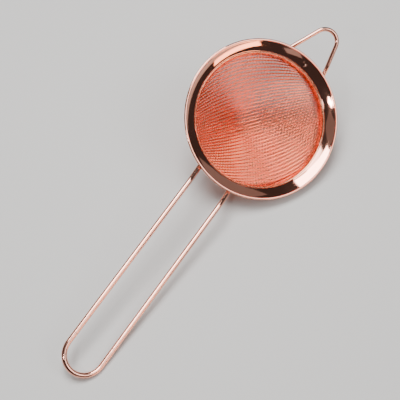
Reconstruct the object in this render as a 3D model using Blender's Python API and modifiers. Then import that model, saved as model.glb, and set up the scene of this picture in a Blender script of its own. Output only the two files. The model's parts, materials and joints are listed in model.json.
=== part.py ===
"""Fine-mesh bar strainer in copper-plated steel, lying on a table.

Everything is designed in the rim's own frame: the origin is the centre of the
rim, +Z is the rim's axis (the bowl hangs below it), the hook points to +X and
the handle to -X.  At the end one empty leans the whole assembly over, so that
it lies on the flank of its bowl and on one corner of its handle, and sets it
down on the plane z = 0.  Lengths are metres and angles are radians.
"""
import math

import bmesh
import bpy
from mathutils import Matrix, Vector

# --- Driving dimensions ------------------------------------------------------
GAP = 0.0003                    # air between neighbouring pieces
RIM_RADIUS = 0.0440
RIM_SHEET = 0.0006
HEM_HEIGHT = 0.0012             # the folded outer edge of the brim
HEM_FLAT = 0.0005               # width of the flat on top of the hem
BRIM_DROP = 0.0030              # from the hem down to the bend into the skirt
BRIM_START = (0.0011, -0.00035)     # inset from the rim's edge, and height
BRIM_ENDS = (0.08, 0.92)        # shares of the brim where its underside is straight
BEND_REACH = 0.0005             # from the skirt's inside out to where the brim begins
BEND_INNER = (0.00014, 0.0001)  # the bend's middle point, out from the skirt and down from the brim
BEND_DEPTH_INNER = 0.0004       # height of the bend on the skirt's inside and outside
BEND_DEPTH_OUTER = 0.0006
SKIRT_RADIUS = 0.0373           # inside of the skirt
SKIRT_BOTTOM = -0.0079

BASKET_SHEET = 0.0004
BASKET_RADIUS = SKIRT_RADIUS - GAP
BASKET_TOP = -0.00425
SHOULDER_RADIUS = 0.0050
FLANK_SLOPE = math.radians(31.8)
FLANK_REACH = 0.0284            # from the rim's centre, square to the flank
TIP_RADIUS = 0.0180

BAND_SHEET = 0.0004
BAND_TOP = -0.00345
BAND_ROUND = 0.0001             # size of the small roundings along its edges

WIRE_BEND_RADIUS = 0.0140       # of the bends beside the rim, handle and hook alike
HANDLE_WIRE = 0.0014            # wire radius
HANDLE_SPAN_RIM = 0.0105        # half the spacing of the two wires at the rim
HANDLE_SPAN_END = 0.0103
HANDLE_END_X = -0.1551          # centre of the round end
HANDLE_RISE = math.radians(8.3)     # slope of the long straight part
HANDLE_TUCK = math.radians(20.0)    # slope of the short part under the brim
HANDLE_BEND_X = -0.0524
HANDLE_BEND_Z = 0.00068
HANDLE_INNER_X = -0.0401

HOOK_WIRE = 0.0012
HOOK_SPAN = 0.0122              # half the spacing of the legs at the rim
HOOK_ARC_X = 0.0560
HOOK_ARC_RADIUS = 0.0069
HOOK_BEND_X = 0.0470
HOOK_BEND_Z = -0.0012
HOOK_TUCK = math.radians(20.0)
HOOK_RISE = math.radians(14.0)
HOOK_INNER_X = 0.0386

WELD_LENGTH = 0.0021            # half axes of a weld bead before it is cut
WELD_WIDTH = 0.0024
WELD_HEIGHT = 0.0013
WELD_ALONG = 0.0006             # bead's centre, out along the wire from the wire's end
WELD_RISE = 0.35                # and up from the wire's middle, in wire radii
ROD_LENGTH = 0.012              # cutter for the wire's own room in the bead
CUTTER_REACH = 0.006            # how far the cutters reach past what they cut

LEAN_ROLL = math.radians(29.2)      # rolled over on the flank of the bowl
LEAN_PITCH = math.radians(13.17)    # hook end up
LEAN_YAW = math.radians(-4.1)       # brings the long handle in line with -X

TURN_STEPS = 60
COPPER = (0.93, 0.50, 0.38, 1.0)


# --- Scene and materials -----------------------------------------------------
def clear_scene():
    for item in list(bpy.data.objects):
        bpy.data.objects.remove(item, do_unlink=True)


def new_collection(name):
    group = bpy.data.collections.new(name)
    bpy.context.scene.collection.children.link(group)
    return group


def metal(name, colour, roughness):
    material = bpy.data.materials.new(name)
    material.use_nodes = True
    shader = material.node_tree.nodes["Principled BSDF"]
    shader.inputs["Base Color"].default_value = colour
    shader.inputs["Metallic"].default_value = 1.0
    shader.inputs["Roughness"].default_value = roughness
    return material


def add_object(name, data, group, material=None):
    item = bpy.data.objects.new(name, data)
    group.objects.link(item)
    if material:
        data.materials.append(material)
    return item


# --- Plane curves ------------------------------------------------------------
def arc(centre, radius, start, stop, count):
    """Points on an arc in a plane, from angle start to angle stop."""
    points = []
    for k in range(count + 1):
        angle = start + (stop - start) * k / count
        points.append((centre[0] + radius * math.cos(angle), centre[1] + radius * math.sin(angle)))
    return points


def bent_height(x, bend_x, bend_z, inner_slope, outer_slope, radius):
    """Height of a wire that changes slope at bend_x with a round bend.

    x and bend_x are distances outward from the rim's centre.
    """
    half = radius * math.tan(abs(inner_slope - outer_slope) / 2)
    if x <= bend_x - half:
        return bend_z + (x - bend_x) * math.tan(inner_slope)
    if x >= bend_x + half:
        return bend_z + (x - bend_x) * math.tan(outer_slope)
    share = (x - bend_x + half) / (2 * half)
    start = bend_z - half * math.tan(inner_slope)
    rise_in = 2 * half * math.tan(inner_slope) * (share - share * share / 2)
    rise_out = 2 * half * math.tan(outer_slope) * share * share / 2
    return start + rise_in + rise_out


# --- Turned pieces -----------------------------------------------------------
def turned(name, outline, group, material=None, closed=True):
    """Turn an (r, z) outline about the Z axis."""
    mesh = bpy.data.meshes.new(name)
    vertices = [(r, 0.0, z) for r, z in outline]
    edges = [(k, k + 1) for k in range(len(outline) - 1)]
    if closed:
        edges.append((len(outline) - 1, 0))
    mesh.from_pydata(vertices, edges, [])
    item = add_object(name, mesh, group, material)
    screw = item.modifiers.new("turn", "SCREW")
    screw.angle = 2 * math.pi
    screw.steps = TURN_STEPS
    screw.render_steps = TURN_STEPS
    screw.use_merge_vertices = True
    screw.merge_threshold = 0.00001
    screw.use_smooth_shade = True
    return item


def brim_point(share, below=0.0):
    """A point on the brim's upper side, 0 at the hem and 1 at the skirt's bend."""
    outer = (RIM_RADIUS - BRIM_START[0], BRIM_START[1])
    inner = (SKIRT_RADIUS + BEND_REACH, BRIM_START[1] - BRIM_DROP)
    r = outer[0] + (inner[0] - outer[0]) * share
    z = outer[1] + (inner[1] - outer[1]) * share
    return (r, z - below)


def brim_slope():
    outer = brim_point(0.0)
    inner = brim_point(1.0)
    return math.atan2(outer[1] - inner[1], outer[0] - inner[0])


def rim_outline():
    """Hem, dished brim and skirt, from the hem's flat top down the outer side."""
    fold = HEM_HEIGHT / 2
    fold_centre = (RIM_RADIUS - fold, -fold)
    under = RIM_SHEET / math.cos(brim_slope())
    skirt_outer = SKIRT_RADIUS + RIM_SHEET
    outline = [(fold_centre[0] - HEM_FLAT, 0.0)]
    outline += arc(fold_centre, fold, math.pi / 2, -math.pi / 2, 6)
    outline.append((fold_centre[0] - HEM_FLAT, -HEM_HEIGHT))
    outline.append(brim_point(BRIM_ENDS[0], under))
    outline.append(brim_point(BRIM_ENDS[1], under))
    outline.append((skirt_outer, brim_point(1.0, under)[1] - BEND_DEPTH_OUTER))
    outline.append((skirt_outer, SKIRT_BOTTOM))
    outline.append((SKIRT_RADIUS, SKIRT_BOTTOM))
    outline.append((SKIRT_RADIUS, brim_point(1.0)[1] - BEND_DEPTH_INNER))
    outline.append((SKIRT_RADIUS + BEND_INNER[0], brim_point(1.0)[1] - BEND_INNER[1]))
    outline.append(brim_point(1.0))
    outline.append(brim_point(0.0))
    return outline


def band_outline():
    """The band inside the mesh, with a lip that covers the cut edge of the cloth."""
    outer = BASKET_RADIUS - BASKET_SHEET - GAP
    inner = outer - BAND_SHEET
    lip = BASKET_RADIUS
    under_lip = BASKET_TOP + GAP
    edge = BAND_ROUND
    return [
        (lip - 2 * edge, BAND_TOP),
        (lip, BAND_TOP - edge),
        (lip, under_lip + edge / 2),
        (lip - 1.5 * edge, under_lip),
        (outer + edge, under_lip),
        (outer, under_lip - edge),
        (outer, SKIRT_BOTTOM + edge),
        (outer - BAND_SHEET / 2, SKIRT_BOTTOM),
        (inner, SKIRT_BOTTOM + edge),
        (inner, BAND_TOP - 4 * edge),
        (inner + 1.2 * edge, BAND_TOP - 1.2 * edge),
        (inner + 4 * edge, BAND_TOP),
    ]


def basket_outline():
    """The bowl's outer side: shoulder, straight flank and rounded tip."""
    slope = FLANK_SLOPE
    tip_centre = (0.0, -(FLANK_REACH - TIP_RADIUS) / math.cos(slope))
    shoulder_x = BASKET_RADIUS - SHOULDER_RADIUS
    reach = FLANK_REACH - SHOULDER_RADIUS
    shoulder_centre = (shoulder_x, -(reach - shoulder_x * math.sin(slope)) / math.cos(slope))
    flank_angle = slope - math.pi / 2
    outline = [(BASKET_RADIUS, BASKET_TOP)]
    outline += arc(shoulder_centre, SHOULDER_RADIUS, 0.0, flank_angle, 5)
    outline += arc(tip_centre, TIP_RADIUS, flank_angle, -math.pi / 2, 5)
    outline[-1] = (0.0, tip_centre[1] - TIP_RADIUS)
    return outline


def make_rim(group):
    return turned("rim_ring", rim_outline(), group, metal("rim_copper", COPPER, 0.08))


def make_band(group):
    return turned("retaining_band", band_outline(), group, metal("band_copper", COPPER, 0.15))


def make_basket(group):
    """The woven cloth as one thin pressed shell of its true outer shape."""
    material = metal("cloth_copper", (0.86, 0.42, 0.30, 1.0), 0.35)
    basket = turned("mesh_basket", basket_outline(), group, material, closed=False)
    shell = basket.modifiers.new("cloth_thickness", "SOLIDIFY")
    shell.thickness = BASKET_SHEET
    shell.offset = -1.0
    shell.use_even_offset = True
    return basket


# --- Wire pieces -------------------------------------------------------------
def wire(name, points, radius, group, material):
    curve = bpy.data.curves.new(name, "CURVE")
    curve.dimensions = "3D"
    curve.bevel_depth = radius
    curve.bevel_resolution = 3
    curve.use_fill_caps = True
    spline = curve.splines.new("POLY")
    spline.points.add(len(points) - 1)
    for point, place in zip(spline.points, points):
        point.co = (place[0], place[1], place[2], 1.0)
    return add_object(name, curve, group, material)


def handle_height(x):
    return bent_height(-x, -HANDLE_BEND_X, HANDLE_BEND_Z, HANDLE_TUCK, HANDLE_RISE, WIRE_BEND_RADIUS)


def handle_leg():
    """One long wire of the handle, from under the brim to the round end."""
    half = WIRE_BEND_RADIUS * math.tan((HANDLE_TUCK - HANDLE_RISE) / 2)
    places = [HANDLE_INNER_X]
    places += [HANDLE_BEND_X + half * (1 - 2 * k / 4) for k in range(5)]
    places += [HANDLE_END_X * 0.55 + HANDLE_BEND_X * 0.45]
    leg = []
    for x in places:
        share = (x - HANDLE_BEND_X) / (HANDLE_END_X - HANDLE_BEND_X)
        span = HANDLE_SPAN_RIM + (HANDLE_SPAN_END - HANDLE_SPAN_RIM) * max(share, 0.0)
        leg.append((x, span, handle_height(x)))
    return leg


def make_handle(group):
    leg = handle_leg()
    turn = arc((HANDLE_END_X, 0.0), HANDLE_SPAN_END, math.pi / 2, 3 * math.pi / 2, 18)
    end = [(x, y, handle_height(x)) for x, y in turn]
    other = [(x, -y, z) for x, y, z in reversed(leg)]
    return wire("handle_wire", leg + end + other, HANDLE_WIRE, group, metal("handle_copper", COPPER, 0.16))


def hook_height(x):
    return bent_height(x, HOOK_BEND_X, HOOK_BEND_Z, HOOK_TUCK, HOOK_RISE, WIRE_BEND_RADIUS)


def hook_tangent():
    """Angle on the hook's arc where a straight leg meets it."""
    foot = Vector((math.sqrt(RIM_RADIUS ** 2 - HOOK_SPAN ** 2), HOOK_SPAN))
    away = foot - Vector((HOOK_ARC_X, 0.0))
    return math.atan2(away.y, away.x) - math.acos(HOOK_ARC_RADIUS / away.length)


def hook_leg():
    angle = hook_tangent()
    touch = Vector((HOOK_ARC_X + HOOK_ARC_RADIUS * math.cos(angle), HOOK_ARC_RADIUS * math.sin(angle)))
    along = Vector((-math.sin(angle), math.cos(angle)))
    leg = []
    for k in range(7):
        x = HOOK_INNER_X + (touch.x - HOOK_INNER_X) * k / 7
        reach = (x - touch.x) / along.x
        leg.append((x, touch.y + along.y * reach, hook_height(x)))
    return leg


def make_hook(group):
    leg = hook_leg()
    angle = hook_tangent()
    turn = arc((HOOK_ARC_X, 0.0), HOOK_ARC_RADIUS, angle, -angle, 14)
    tip = [(x, y, hook_height(x)) for x, y in turn]
    other = [(x, -y, z) for x, y, z in reversed(leg)]
    return wire("rest_hook", leg + tip + other, HOOK_WIRE, group, metal("hook_copper", COPPER, 0.16))


# --- Weld beads --------------------------------------------------------------
def cut(item, cutter):
    step = item.modifiers.new("cut_" + cutter.name, "BOOLEAN")
    step.operation = "DIFFERENCE"
    step.object = cutter


def hide_cutter(item):
    item.hide_render = True
    item.display_type = "WIRE"


def rim_clearance(cutters):
    """The rim's outline grown by one gap, as a cutter for the weld beads."""
    under = (RIM_SHEET + GAP) / math.cos(brim_slope())
    skirt = SKIRT_RADIUS + RIM_SHEET + GAP
    low_outer = brim_point(-0.3, under)
    low_inner = brim_point(1.0, under)
    outside = RIM_RADIUS + CUTTER_REACH
    inside = low_inner[0] - CUTTER_REACH
    outline = [
        (outside, CUTTER_REACH),
        (outside, low_outer[1]),
        low_outer,
        (skirt, brim_point(0.95, under)[1]),
        (skirt, SKIRT_BOTTOM - CUTTER_REACH),
        (inside, SKIRT_BOTTOM - CUTTER_REACH),
        (inside, CUTTER_REACH),
    ]
    cutter = turned("rim_clearance", outline, cutters)
    hide_cutter(cutter)
    return cutter


def wire_clearance(name, start, heading, radius, cutters):
    """A rod one gap thicker than a wire's end, and one gap longer."""
    mesh = bpy.data.meshes.new(name)
    rod = bmesh.new()
    grown = radius + GAP
    bmesh.ops.create_cone(rod, cap_ends=True, segments=16, radius1=grown, radius2=grown, depth=ROD_LENGTH)
    rod.to_mesh(mesh)
    rod.free()
    cutter = add_object(name, mesh, cutters)
    cutter.rotation_mode = "QUATERNION"
    cutter.rotation_quaternion = heading.to_track_quat("Z", "Y")
    cutter.location = start + heading * (ROD_LENGTH / 2 - GAP)
    hide_cutter(cutter)
    return cutter


def weld(name, start, heading, radius, clearance, group, cutters):
    """A bead of weld around a wire's inner end, on the brim's underside."""
    mesh = bpy.data.meshes.new(name)
    bead = bmesh.new()
    bmesh.ops.create_uvsphere(bead, u_segments=14, v_segments=8, radius=1.0)
    bead.to_mesh(mesh)
    bead.free()
    mesh.shade_smooth()
    side = heading.cross(Vector((0, 0, 1))).normalized()
    up = side.cross(heading)
    size = Matrix.Diagonal((WELD_LENGTH, WELD_WIDTH * radius / HANDLE_WIRE, WELD_HEIGHT)).to_4x4()
    frame = Matrix((heading, side, up)).transposed().to_4x4()
    mesh.transform(frame @ size)
    item = add_object(name, mesh, group, metal(name + "_metal", (0.80, 0.42, 0.32, 1.0), 0.3))
    item.location = start + heading * WELD_ALONG + up * (radius * WELD_RISE)
    cut(item, wire_clearance(name + "_wire", start, heading, radius, cutters))
    cut(item, clearance)
    return item


def make_welds(group, cutters):
    """The four beads, and the cutters that have to move along with them."""
    clearance = rim_clearance(cutters)
    clearances = [clearance]
    welds = []
    wires = (("handle", handle_leg(), HANDLE_WIRE), ("hook", hook_leg(), HOOK_WIRE))
    for wire_name, leg, radius in wires:
        for side_name, mirror in (("left", 1), ("right", -1)):
            start = Vector((leg[0][0], leg[0][1] * mirror, leg[0][2]))
            after = Vector((leg[1][0], leg[1][1] * mirror, leg[1][2]))
            heading = (after - start).normalized()
            name = f"{wire_name}_weld_{side_name}"
            bead = weld(name, start, heading, radius, clearance, group, cutters)
            clearances.append(bead.modifiers[0].object)
            welds.append(bead)
    return welds, clearances


# --- Resting pose ------------------------------------------------------------
def world_box(items):
    graph = bpy.context.evaluated_depsgraph_get()
    low = Vector((math.inf, math.inf, math.inf))
    high = -low
    for item in items:
        shown = item.evaluated_get(graph)
        mesh = shown.to_mesh()
        for vertex in mesh.vertices:
            place = shown.matrix_world @ vertex.co
            low = Vector(map(min, low, place))
            high = Vector(map(max, high, place))
        shown.to_mesh_clear()
    return low, high


def lay_down(parts, helpers, group):
    """Lean everything over and stand the middle of its box on the origin."""
    pose = bpy.data.objects.new("lying_pose", None)
    group.objects.link(pose)
    for item in parts + helpers:
        item.parent = pose
    pose.rotation_euler = (LEAN_ROLL, -LEAN_PITCH, LEAN_YAW)
    bpy.context.view_layer.update()
    low, high = world_box(parts)
    pose.location = (-(low.x + high.x) / 2, -(low.y + high.y) / 2, -low.z)
    bpy.context.view_layer.update()


def main():
    clear_scene()
    group = new_collection("bar_strainer")
    cutters = new_collection("bar_strainer_cutters")
    parts = [make_rim(group), make_band(group), make_basket(group), make_handle(group), make_hook(group)]
    welds, helpers = make_welds(group, cutters)
    lay_down(parts + welds, helpers, group)


main()
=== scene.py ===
import json
import math

import bpy
import numpy as np
from mathutils import Matrix, Vector


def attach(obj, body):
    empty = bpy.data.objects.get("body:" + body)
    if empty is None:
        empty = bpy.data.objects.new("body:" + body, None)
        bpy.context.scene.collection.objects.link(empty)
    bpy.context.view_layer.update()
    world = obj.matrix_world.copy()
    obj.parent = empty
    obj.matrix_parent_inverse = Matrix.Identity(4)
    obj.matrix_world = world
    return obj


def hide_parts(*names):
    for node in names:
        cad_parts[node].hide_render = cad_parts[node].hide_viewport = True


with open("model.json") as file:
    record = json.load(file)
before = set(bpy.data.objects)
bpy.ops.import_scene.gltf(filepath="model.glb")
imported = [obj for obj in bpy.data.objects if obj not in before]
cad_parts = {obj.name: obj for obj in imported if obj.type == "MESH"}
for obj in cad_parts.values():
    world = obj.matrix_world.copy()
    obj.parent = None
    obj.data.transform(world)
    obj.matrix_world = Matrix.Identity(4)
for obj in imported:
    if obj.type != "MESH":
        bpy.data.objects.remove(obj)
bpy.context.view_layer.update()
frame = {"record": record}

# --- The rim's frame ---------------------------------------------------------
# Everything is shaped in the rim's own frame (origin at the rim's centre, +Z
# along its axis, hook to +X) and then laid down as the CAD part lies.
ROLL = math.radians(29.2)       # over onto the flank of the bowl
PITCH = math.radians(-13.17)    # hook end up
YAW = math.radians(-4.1)        # brings the handle in line with -X
FACE_RADIUS = 0.04309           # where the record's flat face point lies
FACE_ANGLE = math.radians(3.0)


def lying_pose():
    """How the rim's frame is turned, and where its origin is."""
    turn = Matrix.Rotation(YAW, 3, "Z") @ Matrix.Rotation(PITCH, 3, "Y") @ Matrix.Rotation(ROLL, 3, "X")
    face = Vector((FACE_RADIUS * math.cos(FACE_ANGLE), FACE_RADIUS * math.sin(FACE_ANGLE), 0.0))
    place = Vector(frame["record"]["mounts"][0]["pos_m"]) - turn @ face
    return np.array(turn), np.array(place)


TURN, PLACE = lying_pose()


def to_world(points):
    return np.asarray(points) @ TURN.T + PLACE


# --- Mesh helpers ------------------------------------------------------------
END_BULGE = 0.5                 # how far a wire's round end stands out, in wire radii
END_RINGS = (30.0, 60.0)        # degrees round the bulge at which it has a ring of points


def mesh_object(name, points, quads, caps=()):
    """A smooth-shaded object from points in the rim's frame, quads, and faces that close its ends."""
    mesh = bpy.data.meshes.new(name)
    faces = [tuple(face) for face in quads] + [tuple(face) for face in caps]
    mesh.from_pydata([tuple(point) for point in to_world(points)], [], faces)
    mesh.validate()
    mesh.shade_smooth()
    item = bpy.data.objects.new(name, mesh)
    bpy.context.scene.collection.objects.link(item)
    return item


def grid_quads(rows, columns, wrap_rows=False, wrap_columns=False):
    """Quads of a rows x columns grid of points, numbered row by row."""
    row_range = np.arange(rows if wrap_rows else rows - 1)
    column_range = np.arange(columns if wrap_columns else columns - 1)
    row, column = np.meshgrid(row_range, column_range, indexing="ij")
    this_row, next_row = row * columns, (row + 1) % rows * columns
    next_column = (column + 1) % columns
    corners = [this_row + column, this_row + next_column, next_row + next_column, next_row + column]
    return np.stack(corners, -1).reshape(-1, 4)


def end_fans(rows, columns):
    """Triangles from a tube's first and last ring to the two end points that follow its rings."""
    start = rows * columns
    last_row = start - columns
    fans = []
    for this in range(columns):
        after = (this + 1) % columns
        fans.append((start, after, this))
        fans.append((start + 1, last_row + this, last_row + after))
    return fans


def arc(centre, radius, start, stop, count):
    """Points on an arc from angle start to angle stop."""
    angles = np.linspace(start, stop, count)
    return [(centre[0] + radius * math.cos(a), centre[1] + radius * math.sin(a)) for a in angles]


def revolve(name, outline, angles, lift=None):
    """Turn a closed (r, z) outline about the rim's axis, with an optional small change of height."""
    outline = np.array(outline)
    radii, turns = np.meshgrid(outline[:, 0], angles)
    x, y = radii * np.cos(turns), radii * np.sin(turns)
    z = np.tile(outline[:, 1], (len(angles), 1))
    if lift is not None:
        z = z + lift(x, y)
    points = np.stack([x, y, z], -1).reshape(-1, 3)
    quads = grid_quads(len(angles), len(outline), wrap_rows=True, wrap_columns=True)
    return mesh_object(name, points, quads)


def circles_along(path, ups, sides):
    """The headings along a path, and a unit circle square to each; ups says which way is up."""
    headings = np.gradient(path, axis=0)
    headings /= np.linalg.norm(headings, axis=1)[:, None]
    across = np.cross(headings, ups)
    across /= np.linalg.norm(across, axis=1)[:, None]
    down = np.cross(headings, across)
    turn = np.linspace(0, 2 * math.pi, sides, endpoint=False)[None, :, None]
    return headings, np.cos(turn) * across[:, None, :] + np.sin(turn) * down[:, None, :]


def tube(name, path, radius, sides):
    """A round wire along a path, with rounded ends."""
    path = np.array(path)
    headings, circles = circles_along(path, (0.0, 0.0, 1.0), sides)
    rings = list(path[:, None, :] + radius * circles)
    bulge = END_BULGE * radius
    for angle in np.radians(END_RINGS):
        out, shrunk = bulge * math.sin(angle), radius * math.cos(angle)
        rings.insert(0, path[0] - headings[0] * out + shrunk * circles[0])
        rings.append(path[-1] + headings[-1] * out + shrunk * circles[-1])
    ends = [path[0] - headings[0] * bulge, path[-1] + headings[-1] * bulge]
    points = np.concatenate(rings + [ends])
    quads = grid_quads(len(rings), sides, wrap_columns=True)
    return mesh_object(name, points, quads, end_fans(len(rings), sides))


# --- Materials ---------------------------------------------------------------
NOISE_RANGE = (0.3, 0.7)        # nearly all of a noise texture's values lie in here
PATCH_SCALE = 60.0              # of the uneven colour, in patches a metre
PATCH_DETAIL = 3.0
GRAIN_DETAIL = 4.0


class Nodes:
    """Short hands for building a node tree."""

    def __init__(self, name):
        self.material = bpy.data.materials.new(name)
        self.material.use_nodes = True
        self.tree = self.material.node_tree
        self.shader = self.tree.nodes["Principled BSDF"]

    def add(self, kind, **inputs):
        node = self.tree.nodes.new(kind)
        for key, value in inputs.items():
            node.inputs[key.replace("_", " ")].default_value = value
        return node

    def link(self, source, target):
        self.tree.links.new(source, target)

    def noise(self, scale, detail):
        place = self.add("ShaderNodeTexCoord")
        noise = self.add("ShaderNodeTexNoise", Scale=scale, Detail=detail)
        self.link(place.outputs["Object"], noise.inputs["Vector"])
        return noise.outputs["Fac"]

    def spread(self, source, low, high):
        ramp = self.add(
            "ShaderNodeMapRange", From_Min=NOISE_RANGE[0], From_Max=NOISE_RANGE[1], To_Min=low, To_Max=high)
        self.link(source, ramp.inputs["Value"])
        return ramp.outputs["Result"]

    def blend(self, source, one, other):
        mix = self.tree.nodes.new("ShaderNodeMix")
        mix.data_type = "RGBA"
        mix.inputs["A"].default_value = (*one, 1.0)
        mix.inputs["B"].default_value = (*other, 1.0)
        self.link(source, mix.inputs["Factor"])
        return mix.outputs["Result"]

    def bump(self, source, strength, distance):
        bump = self.add("ShaderNodeBump", Strength=strength, Distance=distance)
        self.link(source, bump.inputs["Height"])
        self.link(bump.outputs["Normal"], self.shader.inputs["Normal"])


def copper(name, colour, tarnish, rough, grain, bump):
    """Plated copper: uneven colour and polish, with a surface grain of this scale and bump
    (strength, distance)."""
    nodes = Nodes(name)
    nodes.shader.inputs["Metallic"].default_value = 1.0
    patches = nodes.noise(PATCH_SCALE, PATCH_DETAIL)
    tint = nodes.blend(nodes.spread(patches, 0.0, 1.0), colour, tarnish)
    nodes.link(tint, nodes.shader.inputs["Base Color"])
    smears = nodes.noise(grain, GRAIN_DETAIL)
    nodes.link(nodes.spread(smears, *rough), nodes.shader.inputs["Roughness"])
    nodes.bump(smears, *bump)
    return nodes.material


RIM_COPPER = copper(
    "rim_copper", colour=(0.90, 0.44, 0.33), tarnish=(0.86, 0.38, 0.27),
    rough=(0.045, 0.09), grain=260.0, bump=(0.05, 0.0002))
BAND_COPPER = copper(
    "band_copper", colour=(0.98, 0.48, 0.31), tarnish=(0.95, 0.43, 0.27),
    rough=(0.20, 0.30), grain=400.0, bump=(0.08, 0.0002))
WIRE_COPPER = copper(
    "wire_copper", colour=(0.93, 0.48, 0.37), tarnish=(0.89, 0.41, 0.30),
    rough=(0.10, 0.18), grain=500.0, bump=(0.08, 0.0002))
CLOTH_COPPER = copper(
    "cloth_copper", colour=(0.93, 0.24, 0.12), tarnish=(0.89, 0.20, 0.10),
    rough=(0.10, 0.17), grain=900.0, bump=(0.10, 0.0001))
WELD_COPPER = copper(
    "weld_copper", colour=(0.80, 0.38, 0.28), tarnish=(0.66, 0.29, 0.21),
    rough=(0.28, 0.45), grain=1500.0, bump=(0.35, 0.0002))


def dress(item, material, node):
    """Give a piece its material and its body, and hide the CAD node that it stands for."""
    item.data.materials.append(material)
    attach(item, "root")
    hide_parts(node)


# --- Rim ---------------------------------------------------------------------
RIM_RADIUS = 0.0440
RIM_SHEET = 0.0006
HEM = 0.00060                   # radius of the folded edge
HEM_FLAT = 0.00036              # width of the flat on top of it
HEM_EASE = (0.00012, 0.00006)   # how the flat's inner edge is eased, in and down
HEM_STOP = math.radians(-100.0)     # where the folded edge ends underneath
HEM_TUCK = (0.0007, 0.00052)    # curve from there to the brim: its handle, in and down
HEM_DIP = (0.00008, 0.00004)    # curve from the brim to the flat: its handle, in and up
BRIM_OUTER = (0.0428, -0.00045)
BRIM_INNER = (0.0378, -0.00335)
BRIM_SAG = 0.00018              # how deeply the brim is dished
BRIM_TOP = (0.03, 0.93)         # shares of the brim between the curves, on top and underneath
BRIM_LOW = (0.10, 0.88)
BRIM_UNDER = RIM_SHEET * 1.17   # the sloping sheet's thickness, measured straight down
BEND_OUTSIDE = (0.0004, 0.0016)     # bend into the skirt: its handle and its end, below the brim
BEND_INSIDE = (0.00022, 0.0011)
SKIRT_RADIUS = 0.0373           # inside of the skirt
SKIRT_BOTTOM = -0.0079
SKIRT_EASE = (0.00025, 0.0004)  # where its straight sides stop above its bottom, outside and inside
DIMPLE_ANGLE = math.radians(1.0)
DIMPLE_REACH = 0.0403           # from the rim's axis
DIMPLE_RADIUS = 0.0013
DIMPLE_RING = (0.00012, 0.28)   # height of its raised ring, and width in dimple radii
DIMPLE_HOLLOW = (0.00010, 0.7)  # depth of the hollow inside it, and width in dimple radii
RIM_STEPS = 260
DIMPLE_SPAN = math.radians(4.0)     # the rim has finer steps this far to each side of the dimple
DIMPLE_STEPS = 41


def bezier(start, handle, end, count):
    """A quadratic curve, without its last point."""
    start, handle, end = np.array(start), np.array(handle), np.array(end)
    points = []
    for k in range(count):
        t = k / count
        points.append(tuple((1 - t) ** 2 * start + 2 * t * (1 - t) * handle + t * t * end))
    return points


def brim_point(share):
    """A point (r, z) on top of the brim, from share 0 at its outer edge to share 1 at its inner."""
    r = BRIM_OUTER[0] + (BRIM_INNER[0] - BRIM_OUTER[0]) * share
    z = BRIM_OUTER[1] + (BRIM_INNER[1] - BRIM_OUTER[1]) * share - BRIM_SAG * 4 * share * (1 - share)
    return r, z


def rim_outline():
    """The rim's section: the folded edge, the underside, the skirt and back over the top."""
    hem = (RIM_RADIUS - HEM, -HEM)
    outer = SKIRT_RADIUS + RIM_SHEET
    half = RIM_SHEET / 2
    top = [brim_point(share) for share in np.linspace(*BRIM_TOP, 22)]
    low = [(r, z - BRIM_UNDER) for r, z in map(brim_point, np.linspace(*BRIM_LOW, 18))]
    flat = hem[0] - HEM_FLAT
    edge = (flat - HEM_EASE[0], -HEM_EASE[1])
    outline = [edge, (flat, 0.0), (flat + HEM_FLAT / 2, 0.0)]
    outline += arc(hem, HEM, math.pi / 2, HEM_STOP, 18)
    outline += bezier(outline[-1], (hem[0] - HEM_TUCK[0], hem[1] - HEM_TUCK[1]), low[0], 5)[1:]
    outline += low
    foot = (outer, low[-1][1] - BEND_OUTSIDE[1])
    outline += bezier(low[-1], (outer, low[-1][1] - BEND_OUTSIDE[0]), foot, 7)[1:]
    outline += [(outer, z) for z in np.linspace(foot[1], SKIRT_BOTTOM + SKIRT_EASE[0], 5)]
    outline += arc((outer - half, SKIRT_BOTTOM + half), half, 0, -math.pi, 7)[1:]
    neck = (SKIRT_RADIUS, top[-1][1] - BEND_INSIDE[1])
    outline += [(SKIRT_RADIUS, z) for z in np.linspace(SKIRT_BOTTOM + SKIRT_EASE[1], neck[1], 6)]
    outline += bezier(neck, (SKIRT_RADIUS, top[-1][1] - BEND_INSIDE[0]), top[-1], 8)[1:]
    outline += top[::-1]
    outline += bezier(top[0], (edge[0] - HEM_DIP[0], top[0][1] + HEM_DIP[1]), edge, 5)[1:]
    return outline


def dimple(x, y):
    """Height of the shallow ring that a spot weld leaves in the brim."""
    from_x = x - DIMPLE_REACH * math.cos(DIMPLE_ANGLE)
    from_y = y - DIMPLE_REACH * math.sin(DIMPLE_ANGLE)
    away = np.hypot(from_x, from_y) / DIMPLE_RADIUS
    ring = DIMPLE_RING[0] * np.exp(-((away - 1.0) / DIMPLE_RING[1]) ** 2)
    return ring - DIMPLE_HOLLOW[0] * np.exp(-(away / DIMPLE_HOLLOW[1]) ** 2)


def rim_angles():
    """Even steps round the rim, with finer ones beside the dimple."""
    coarse = np.linspace(0, 2 * math.pi, RIM_STEPS, endpoint=False)
    near = np.abs((coarse - DIMPLE_ANGLE + math.pi) % (2 * math.pi) - math.pi) < DIMPLE_SPAN
    fine = DIMPLE_ANGLE + np.linspace(-DIMPLE_SPAN, DIMPLE_SPAN, DIMPLE_STEPS)
    return np.sort(np.concatenate([coarse[~near], fine]))


def make_rim():
    rim = revolve("rim", rim_outline(), rim_angles(), dimple)
    dress(rim, RIM_COPPER, "rim_ring")


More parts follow.
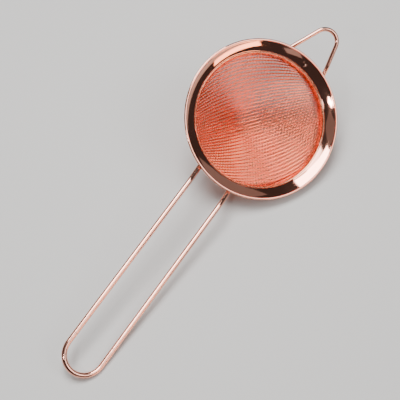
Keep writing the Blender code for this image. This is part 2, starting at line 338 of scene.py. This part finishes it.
# --- Band --------------------------------------------------------------------
BAND_SHEET = 0.00025
BAND_OUTER = 0.03650
BAND_TOP = (0.03722, -0.00335)  # edge of the flared lip
BAND_NECK = -0.00465            # middle of the bend where the flare begins
NECK_REACH = 0.0004             # half the height of that bend
NECK_PULL = 0.0003              # its handle's height above its middle, outside
BAND_MIDDLE = -0.0055           # a height on its straight part
BAND_FOOT = SKIRT_BOTTOM + 0.0001
BAND_FOOT_EASE = 0.0002         # where its straight outside stops above its foot
# Points round the lip's edge, out and up from its top: two outside, two inside.
LIP_OUTSIDE = ((0.00004, -0.00012), (-0.00001, -0.00024))
LIP_INSIDE = ((-0.00020, -0.00006), (-0.00012, 0.00001))
BAND_STEPS = 240


def lip_point(offset):
    return BAND_TOP[0] + offset[0], BAND_TOP[1] + offset[1]


def make_band():
    """The band that holds the cloth in the skirt, flared over the cloth's cut edge."""
    inner = BAND_OUTER - BAND_SHEET
    half = BAND_SHEET / 2
    below = BAND_NECK - NECK_REACH
    outline = [BAND_TOP, lip_point(LIP_OUTSIDE[0])]
    outline += bezier(lip_point(LIP_OUTSIDE[1]), (BAND_OUTER, BAND_NECK + NECK_PULL), (BAND_OUTER, below), 8)
    outline += [(BAND_OUTER, BAND_MIDDLE), (BAND_OUTER, BAND_FOOT + BAND_FOOT_EASE)]
    outline += arc((BAND_OUTER - half, BAND_FOOT + half), half, 0, -math.pi, 6)
    outline += [(inner, BAND_MIDDLE)]
    outline += bezier((inner, below), (inner, BAND_NECK + NECK_REACH), lip_point(LIP_INSIDE[0]), 9)
    outline += [lip_point(LIP_INSIDE[1])]
    band = revolve("band", outline, np.linspace(0, 2 * math.pi, BAND_STEPS, endpoint=False))
    dress(band, BAND_COPPER, "retaining_band")


# --- Wire cloth --------------------------------------------------------------
# The cloth is set out in plan, X along the warp, and pressed down onto the bowl.
PITCH_X = 0.00082               # spacing of the weft wires
PITCH_Y = 0.00122               # spacing of the warp wires where they reach the wall
SPREAD = 0.55                   # share by which the warp wires lie wider apart halfway along
# Radius of each wire, height of its weave either side of its middle, and how far
# its middle lies inside the bowl's own middle surface.
WARP = (0.00040, 0.00004, 0.00005)
WEFT = (0.00033, 0.00010, -0.00013)
FLANK_SLOPE = math.radians(31.8)
FLANK_REACH = 0.02787           # from the rim's centre, square to the flank
TIP_RADIUS = 0.01745
SHOULDER_RADIUS = 0.0045
WALL_RADIUS = 0.03690
WEAVE_ANGLE = math.radians(-35.0)   # turn of the warp from the rim's +X
CLOTH_TOP = -0.0048             # its cut edge
WALL_PRESS = 0.25               # the weave is pressed this flat under the band
PRESS_LENGTH = 0.0010           # height over which it flattens
STEPS_PER_PITCH = 4
CLOTH_SIDES = 6
OVERRUN = 1.5                   # weft spacings set out past the cut edge, before the wires are cut
LEAST_CROSSINGS = 3             # a wire with fewer is left out,
LEAST_POINTS = 4                # and so is one with fewer points within the cut edge

TIP_Z = -(FLANK_REACH - TIP_RADIUS) / math.cos(FLANK_SLOPE)
TIP_ARC = TIP_RADIUS * FLANK_SLOPE
TIP_EDGE = TIP_RADIUS * math.sin(FLANK_SLOPE)
SHOULDER_R = WALL_RADIUS - SHOULDER_RADIUS
SHOULDER_Z = -(FLANK_REACH - SHOULDER_RADIUS - SHOULDER_R * math.sin(FLANK_SLOPE)) / math.cos(FLANK_SLOPE)
FLANK_LENGTH = (SHOULDER_R + SHOULDER_RADIUS * math.sin(FLANK_SLOPE) - TIP_EDGE) / math.cos(FLANK_SLOPE)
SHOULDER_ARC = SHOULDER_RADIUS * (math.pi / 2 - FLANK_SLOPE)
CLOTH_LENGTH = TIP_ARC + FLANK_LENGTH + SHOULDER_ARC + (CLOTH_TOP - SHOULDER_Z)


def bowl(s):
    """Radius, height and slope of the bowl at distance s from its tip."""
    if s < TIP_ARC:
        angle = s / TIP_RADIUS
        return TIP_RADIUS * math.sin(angle), TIP_Z - TIP_RADIUS * math.cos(angle), angle
    s -= TIP_ARC
    if s < FLANK_LENGTH:
        r = TIP_EDGE + s * math.cos(FLANK_SLOPE)
        z = TIP_Z - TIP_RADIUS * math.cos(FLANK_SLOPE) + s * math.sin(FLANK_SLOPE)
        return r, z, FLANK_SLOPE
    s -= FLANK_LENGTH
    if s < SHOULDER_ARC:
        angle = FLANK_SLOPE + s / SHOULDER_RADIUS
        r = SHOULDER_R + SHOULDER_RADIUS * math.sin(angle)
        return r, SHOULDER_Z - SHOULDER_RADIUS * math.cos(angle), angle
    s -= SHOULDER_ARC
    return WALL_RADIUS, SHOULDER_Z + s, math.pi / 2


def along_bowl(reach):
    """Distance from the tip of a point set out in plan at this reach from the middle."""
    if reach < TIP_EDGE:
        return TIP_RADIUS * math.asin(reach / TIP_RADIUS)
    return TIP_ARC + (reach - TIP_EDGE) / math.cos(FLANK_SLOPE)


def bowl_point(s, turn):
    r, z, _ = bowl(s)
    return np.array([r * math.cos(turn), r * math.sin(turn), z])


def bowl_normal(s, turn):
    """Unit vector that points into the bowl."""
    _, _, slope = bowl(s)
    inward = -math.sin(slope)
    return np.array([inward * math.cos(turn), inward * math.sin(turn), math.cos(slope)])


def cloth_knots():
    """All crossings of the cloth as {(i, j): (s, turn)}."""
    limit = CLOTH_LENGTH + OVERRUN * PITCH_X
    reach = TIP_EDGE + (limit - TIP_ARC) * math.cos(FLANK_SLOPE)    # the same distance, in plan
    columns, rows = math.ceil(reach / PITCH_X), math.ceil(reach / PITCH_Y)
    knots = {}
    for i in range(-columns, columns):
        for j in range(-rows, rows):
            x = (i + 0.5) * PITCH_X
            y = (j + 0.5) * PITCH_Y * (1 + SPREAD * (1 - (x / WALL_RADIUS) ** 2))
            s = along_bowl(math.hypot(x, y))
            if s < limit:
                knots[(i, j)] = (s, math.atan2(y, x) + WEAVE_ANGLE)
    return knots


def runs(cells):
    """Split sorted whole numbers into unbroken runs."""
    found = []
    for cell in sorted(cells):
        if found and found[-1][-1] == cell - 1:
            found[-1].append(cell)
        else:
            found.append([cell])
    return [run for run in found if len(run) >= LEAST_CROSSINGS]


def pressed(z):
    """How much of the weave's height is left at this height, 1 in the bowl and less on the wall."""
    share = min(max((z - SHOULDER_Z) / PRESS_LENGTH + 0.5, 0.0), 1.0)
    return 1 - share * (1 - WALL_PRESS)


def smooth_between(before, start, stop, after, t):
    """Catmull-Rom curve from start to stop."""
    square = (2 * before - 5 * start + 4 * stop - after) * t ** 2
    cube = (3 * start - before - 3 * stop + after) * t ** 3
    return 0.5 * (2 * start + (stop - before) * t + square + cube)


def wavy_path(points, normals, signs, wave, inset):
    """A wire through the crossings, over and under by turns, and which way is up along it."""
    last = len(points) - 1
    path, ups = [], []
    for k in range(last):
        before, after = points[max(k - 1, 0)], points[min(k + 2, last)]
        for t in np.arange(STEPS_PER_PITCH) / STEPS_PER_PITCH:
            flat = smooth_between(before, points[k], points[k + 1], after, t)
            up = normals[k] * (1 - t) + normals[k + 1] * t
            up = up / np.linalg.norm(up)
            path.append(flat + up * (inset + signs[k] * wave * math.cos(math.pi * t)) * pressed(flat[2]))
            ups.append(up)
    path.append(points[last] + normals[last] * (inset + signs[last] * wave) * pressed(points[last][2]))
    ups.append(normals[last])
    return np.array(path), np.array(ups)


def cloth_wires(knots, along_x, wave, inset):
    """The paths of all wires that run one way, cut off at the cloth's edge, with their ups."""
    lines = {}
    for i, j in knots:
        lines.setdefault(j if along_x else i, []).append(i if along_x else j)
    for line, cells in sorted(lines.items()):
        for run in runs(cells):
            keys = [(cell, line) if along_x else (line, cell) for cell in run]
            over_first = 1 if along_x else -1
            signs = [over_first * (-1) ** ((i + j) % 2) for i, j in keys]
            points = [bowl_point(*knots[key]) for key in keys]
            normals = [bowl_normal(*knots[key]) for key in keys]
            path, ups = wavy_path(points, normals, signs, wave, inset)
            below = np.where(path[:, 2] < CLOTH_TOP)[0]
            if len(below) >= LEAST_POINTS:
                yield path[below[0]:below[-1] + 1], ups[below[0]:below[-1] + 1]


def cloth_family(name, knots, along_x, wire):
    """One object that holds all wires that run one way, each a closed tube."""
    radius, wave, inset = wire
    rings, quads, caps, count = [], [], [], 0
    for path, ups in cloth_wires(knots, along_x, wave, inset):
        _, circles = circles_along(path, ups, CLOTH_SIDES)
        rings.append((path[:, None, :] + radius * circles).reshape(-1, 3))
        quads.append(grid_quads(len(path), CLOTH_SIDES, wrap_columns=True) + count)
        caps.append(np.arange(count, count + CLOTH_SIDES)[::-1])
        count += len(rings[-1])
        caps.append(np.arange(count - CLOTH_SIDES, count))
    return mesh_object(name, np.concatenate(rings), np.concatenate(quads), caps)


def make_cloth():
    knots = cloth_knots()
    for name, along_x, wire in (("cloth_warp", True, WARP), ("cloth_weft", False, WEFT)):
        family = cloth_family(name, knots, along_x, wire)
        dress(family, CLOTH_COPPER, "mesh_basket")


# --- Handle and hook ---------------------------------------------------------
WIRE_SIDES = 24
BEND_RADIUS = 0.0140            # of the bends beside the rim, handle and hook alike

HANDLE_WIRE = 0.0014            # wire radius
HANDLE_SPAN_RIM = 0.0105        # half the spacing of the two wires at the rim
HANDLE_SPAN_END = 0.0103
HANDLE_END_X = -0.1551          # centre of the round end
HANDLE_RISE = math.radians(8.3)     # slope of the long straight part
HANDLE_TUCK = math.radians(20.0)    # slope of the short part under the brim
HANDLE_BEND = (0.0524, 0.00068)     # where the two slopes meet: distance out, and height
HANDLE_BENT_X = -0.062          # the bend is over by here,
HANDLE_STEP = 0.003             # and the path's points are wider apart from here on
HANDLE_INNER_X = -0.0396        # the wire's end under the brim

HOOK_WIRE = 0.0012
HOOK_SPAN = 0.0122              # half the spacing of the legs at the rim
HOOK_ARC_X = 0.0560             # centre of the arc at its tip
HOOK_ARC_RADIUS = 0.0069
HOOK_BEND = (0.0470, -0.0012)
HOOK_TUCK = math.radians(20.0)
HOOK_RISE = math.radians(14.0)
HOOK_INNER_X = 0.0384


def bent_height(out, bend, inner, outer):
    """Height, this far out, of a wire that changes slope beside the rim with a round bend."""
    half = BEND_RADIUS * math.tan(abs(inner - outer) / 2)
    if out <= bend[0] - half:
        return bend[1] + (out - bend[0]) * math.tan(inner)
    if out >= bend[0] + half:
        return bend[1] + (out - bend[0]) * math.tan(outer)
    share = (out - bend[0] + half) / (2 * half)
    climb = math.tan(inner) * (share - share ** 2 / 2) + math.tan(outer) * share ** 2 / 2
    return bend[1] - half * math.tan(inner) + 2 * half * climb


def handle_height(x):
    return bent_height(-x, HANDLE_BEND, HANDLE_TUCK, HANDLE_RISE)


def hook_height(x):
    return bent_height(x, HOOK_BEND, HOOK_TUCK, HOOK_RISE)


def make_loop(name, leg, tip, radius, node):
    """A wire that runs out along a leg, round the tip and back along the mirrored leg."""
    other = [(x, -y, z) for x, y, z in reversed(leg)]
    wire = tube(name, leg + tip + other, radius, WIRE_SIDES)
    dress(wire, WIRE_COPPER, node)


def handle_leg():
    """One wire of the handle, from under the brim to where the round end begins."""
    bend = np.linspace(HANDLE_INNER_X, HANDLE_BENT_X, 28)
    straight = np.linspace(HANDLE_BENT_X - HANDLE_STEP, HANDLE_END_X, 24)[:-1]
    leg = []
    for x in np.concatenate([bend, straight]):
        share = max((x + HANDLE_BEND[0]) / (HANDLE_END_X + HANDLE_BEND[0]), 0.0)
        span = HANDLE_SPAN_RIM + (HANDLE_SPAN_END - HANDLE_SPAN_RIM) * share
        leg.append((x, span, handle_height(x)))
    return leg


def make_handle():
    end = arc((HANDLE_END_X, 0.0), HANDLE_SPAN_END, math.pi / 2, 3 * math.pi / 2, 49)
    tip = [(x, y, handle_height(x)) for x, y in end]
    make_loop("handle", handle_leg(), tip, HANDLE_WIRE, "handle_wire")


def hook_tangent():
    """Angle on the hook's arc where a straight leg meets it."""
    foot = Vector((math.sqrt(RIM_RADIUS ** 2 - HOOK_SPAN ** 2), HOOK_SPAN))
    away = foot - Vector((HOOK_ARC_X, 0.0))
    return math.atan2(away.y, away.x) - math.acos(HOOK_ARC_RADIUS / away.length)


def hook_leg():
    """One leg of the hook, from under the brim to where its arc begins."""
    angle = hook_tangent()
    touch = (HOOK_ARC_X + HOOK_ARC_RADIUS * math.cos(angle), HOOK_ARC_RADIUS * math.sin(angle))
    leg = []
    for x in np.linspace(HOOK_INNER_X, touch[0], 26)[:-1]:
        y = touch[1] - (x - touch[0]) / math.tan(angle)
        leg.append((x, y, hook_height(x)))
    return leg


def make_hook():
    angle = hook_tangent()
    tip = [(x, y, hook_height(x)) for x, y in arc((HOOK_ARC_X, 0.0), HOOK_ARC_RADIUS, angle, -angle, 41)]
    make_loop("hook", hook_leg(), tip, HOOK_WIRE, "rest_hook")


# --- Weld beads --------------------------------------------------------------
BEAD_SIZE = (0.0022, 0.0023, 0.0014)    # half its length along the wire, width and height
BEAD_OUT = 0.0008               # its centre, out along the wire from the wire's end
BEAD_RISE = 0.35                # and up from the wire's middle, in wire radii
BEAD_RIPPLE = 0.05              # height of its ripples, as a share of its size
BEAD_RIPPLES = (9, 0.8)         # how closely they follow along it, and how far they sway round it
BEAD_LUMPS = (3, 5, 0.4)        # lumps round it, their twist along it, and height in ripples
BEAD_SINK = 0.0003              # how far it is fused into the brim
BEAD_GRID = (25, 40)            # points along it and round it
BEAD_POLE = 0.02                # angle of its first and last ring from its poles


def brim_under(r):
    """Height of the brim's underside at radius r."""
    share = np.clip((BRIM_OUTER[0] - r) / (BRIM_OUTER[0] - BRIM_INNER[0]), 0.0, 1.0)
    return brim_point(share)[1] - BRIM_UNDER


def make_weld(name, start, after, radius, node):
    """A rippled bead that wraps the wire's inner end and is fused to the brim above it."""
    heading = after - start
    heading /= np.linalg.norm(heading)
    side = np.cross(heading, (0.0, 0.0, 1.0))
    side /= np.linalg.norm(side)
    up = np.cross(side, heading)
    rows, columns = BEAD_GRID
    turns = np.linspace(0, 2 * math.pi, columns, endpoint=False)
    turn, polar = np.meshgrid(turns, np.linspace(BEAD_POLE, math.pi - BEAD_POLE, rows))
    ripple = np.sin(BEAD_RIPPLES[0] * polar + BEAD_RIPPLES[1] * np.cos(turn)) * np.sin(polar) ** 2
    lumps = np.sin(BEAD_LUMPS[0] * turn + BEAD_LUMPS[1] * polar) * np.sin(polar)
    swell = 1 + BEAD_RIPPLE * (ripple + BEAD_LUMPS[2] * lumps)
    ball = np.stack([np.cos(polar), np.sin(polar) * np.cos(turn), np.sin(polar) * np.sin(turn)], -1)
    size = (BEAD_SIZE[0], BEAD_SIZE[1] * radius / HANDLE_WIRE, BEAD_SIZE[2])
    centre = start + heading * BEAD_OUT + up * radius * BEAD_RISE
    points = (centre + (ball * swell[..., None] * size) @ np.array([heading, side, up])).reshape(-1, 3)
    ceiling = brim_under(np.hypot(points[:, 0], points[:, 1])) + BEAD_SINK
    points[:, 2] = np.minimum(points[:, 2], ceiling)
    poles = points.reshape(rows, columns, 3)[[0, -1]].mean(axis=1)
    quads = grid_quads(rows, columns, wrap_columns=True)
    bead = mesh_object(name, np.concatenate([points, poles]), quads, end_fans(rows, columns))
    dress(bead, WELD_COPPER, node)


def make_welds():
    for wire, leg, radius in (("handle", handle_leg(), HANDLE_WIRE), ("hook", hook_leg(), HOOK_WIRE)):
        for side, mirror in (("left", 1), ("right", -1)):
            start, after = np.array(leg[:2]) * (1, mirror, 1)
            make_weld(f"{wire}_bead_{side}", start, after, radius, f"{wire}_weld_{side}")


# --- Floor, light and camera -------------------------------------------------
FLOOR_HALF = 0.75               # half its side
FLOOR_COLOUR = (0.64, 0.63, 0.615, 1.0)
FLOOR_ROUGHNESS = 0.6
WORLD_COLOUR = (0.055, 0.05, 0.05, 1.0)
WHITE = (1.0, 1.0, 1.0)
LIGHT_AIM = (0.05, 0.0, 0.03)   # the bowl
LIGHTS = (                      # name, place, width and height, watts, colour
    ("key_box", (0.17, 0.31, 0.92), (0.60, 0.46), 12.0, WHITE),
    ("top_box", (0.05, -0.02, 1.05), (0.30, 0.30), 1.8, WHITE),
    ("fill_box", (0.14, -0.57, 0.74), (0.60, 0.50), 3.4, WHITE),
    ("left_box", (-0.68, 0.0, 0.80), (0.13, 0.10), 1.6, WHITE),
    ("front_panel", (-0.16, -1.25, 0.05), (0.75, 0.28), 4.8, (1.0, 0.60, 0.38)),
    ("right_panel", (0.95, -0.30, 0.55), (0.55, 0.75), 0.28, WHITE),
    ("low_card", (-0.75, -0.70, 0.30), (0.25, 0.18), 0.06, WHITE),
    ("high_card", (-0.36, 0.14, 0.88), (0.40, 0.30), 0.07, WHITE),
)
CAMERA_PLACE = (-0.16820, -0.11225, 0.39054)
CAMERA_AHEAD = (0.38867, 0.27111, -0.88059)
CAMERA_LENS = 72.0              # mm, on a sensor this wide
CAMERA_SENSOR = 36.0


def turned_to(direction):
    """The rotation of a light or camera that looks this way."""
    return Vector(direction).to_track_quat("-Z", "Y").to_euler()


def make_floor():
    mesh = bpy.data.meshes.new("floor")
    corners = [(x * FLOOR_HALF, y * FLOOR_HALF, 0) for x, y in ((-1, -1), (1, -1), (1, 1), (-1, 1))]
    mesh.from_pydata(corners, [], [(0, 1, 2, 3)])
    floor = bpy.data.objects.new("floor", mesh)
    bpy.context.scene.collection.objects.link(floor)
    nodes = Nodes("floor_pale")
    nodes.shader.inputs["Base Color"].default_value = FLOOR_COLOUR
    nodes.shader.inputs["Roughness"].default_value = FLOOR_ROUGHNESS
    mesh.materials.append(nodes.material)


def area_light(name, place, size, power, colour):
    data = bpy.data.lights.new(name, "AREA")
    data.shape = "RECTANGLE"
    data.size = size[0]
    data.size_y = size[1]
    data.energy = power
    data.color = colour
    light = bpy.data.objects.new(name, data)
    light.location = place
    light.rotation_euler = turned_to(Vector(LIGHT_AIM) - Vector(place))
    bpy.context.scene.collection.objects.link(light)


def make_lights():
    world = bpy.data.worlds.new("studio")
    world.use_nodes = True
    world.node_tree.nodes["Background"].inputs["Color"].default_value = WORLD_COLOUR
    bpy.context.scene.world = world
    for light in LIGHTS:
        area_light(*light)


def make_camera():
    data = bpy.data.cameras.new("camera")
    data.lens = CAMERA_LENS
    data.sensor_width = CAMERA_SENSOR
    camera = bpy.data.objects.new("camera", data)
    camera.location = CAMERA_PLACE
    camera.rotation_euler = turned_to(CAMERA_AHEAD)
    bpy.context.scene.collection.objects.link(camera)
    bpy.context.scene.camera = camera


make_rim()
make_band()
make_cloth()
make_handle()
make_hook()
make_welds()
make_floor()
make_lights()
make_camera()
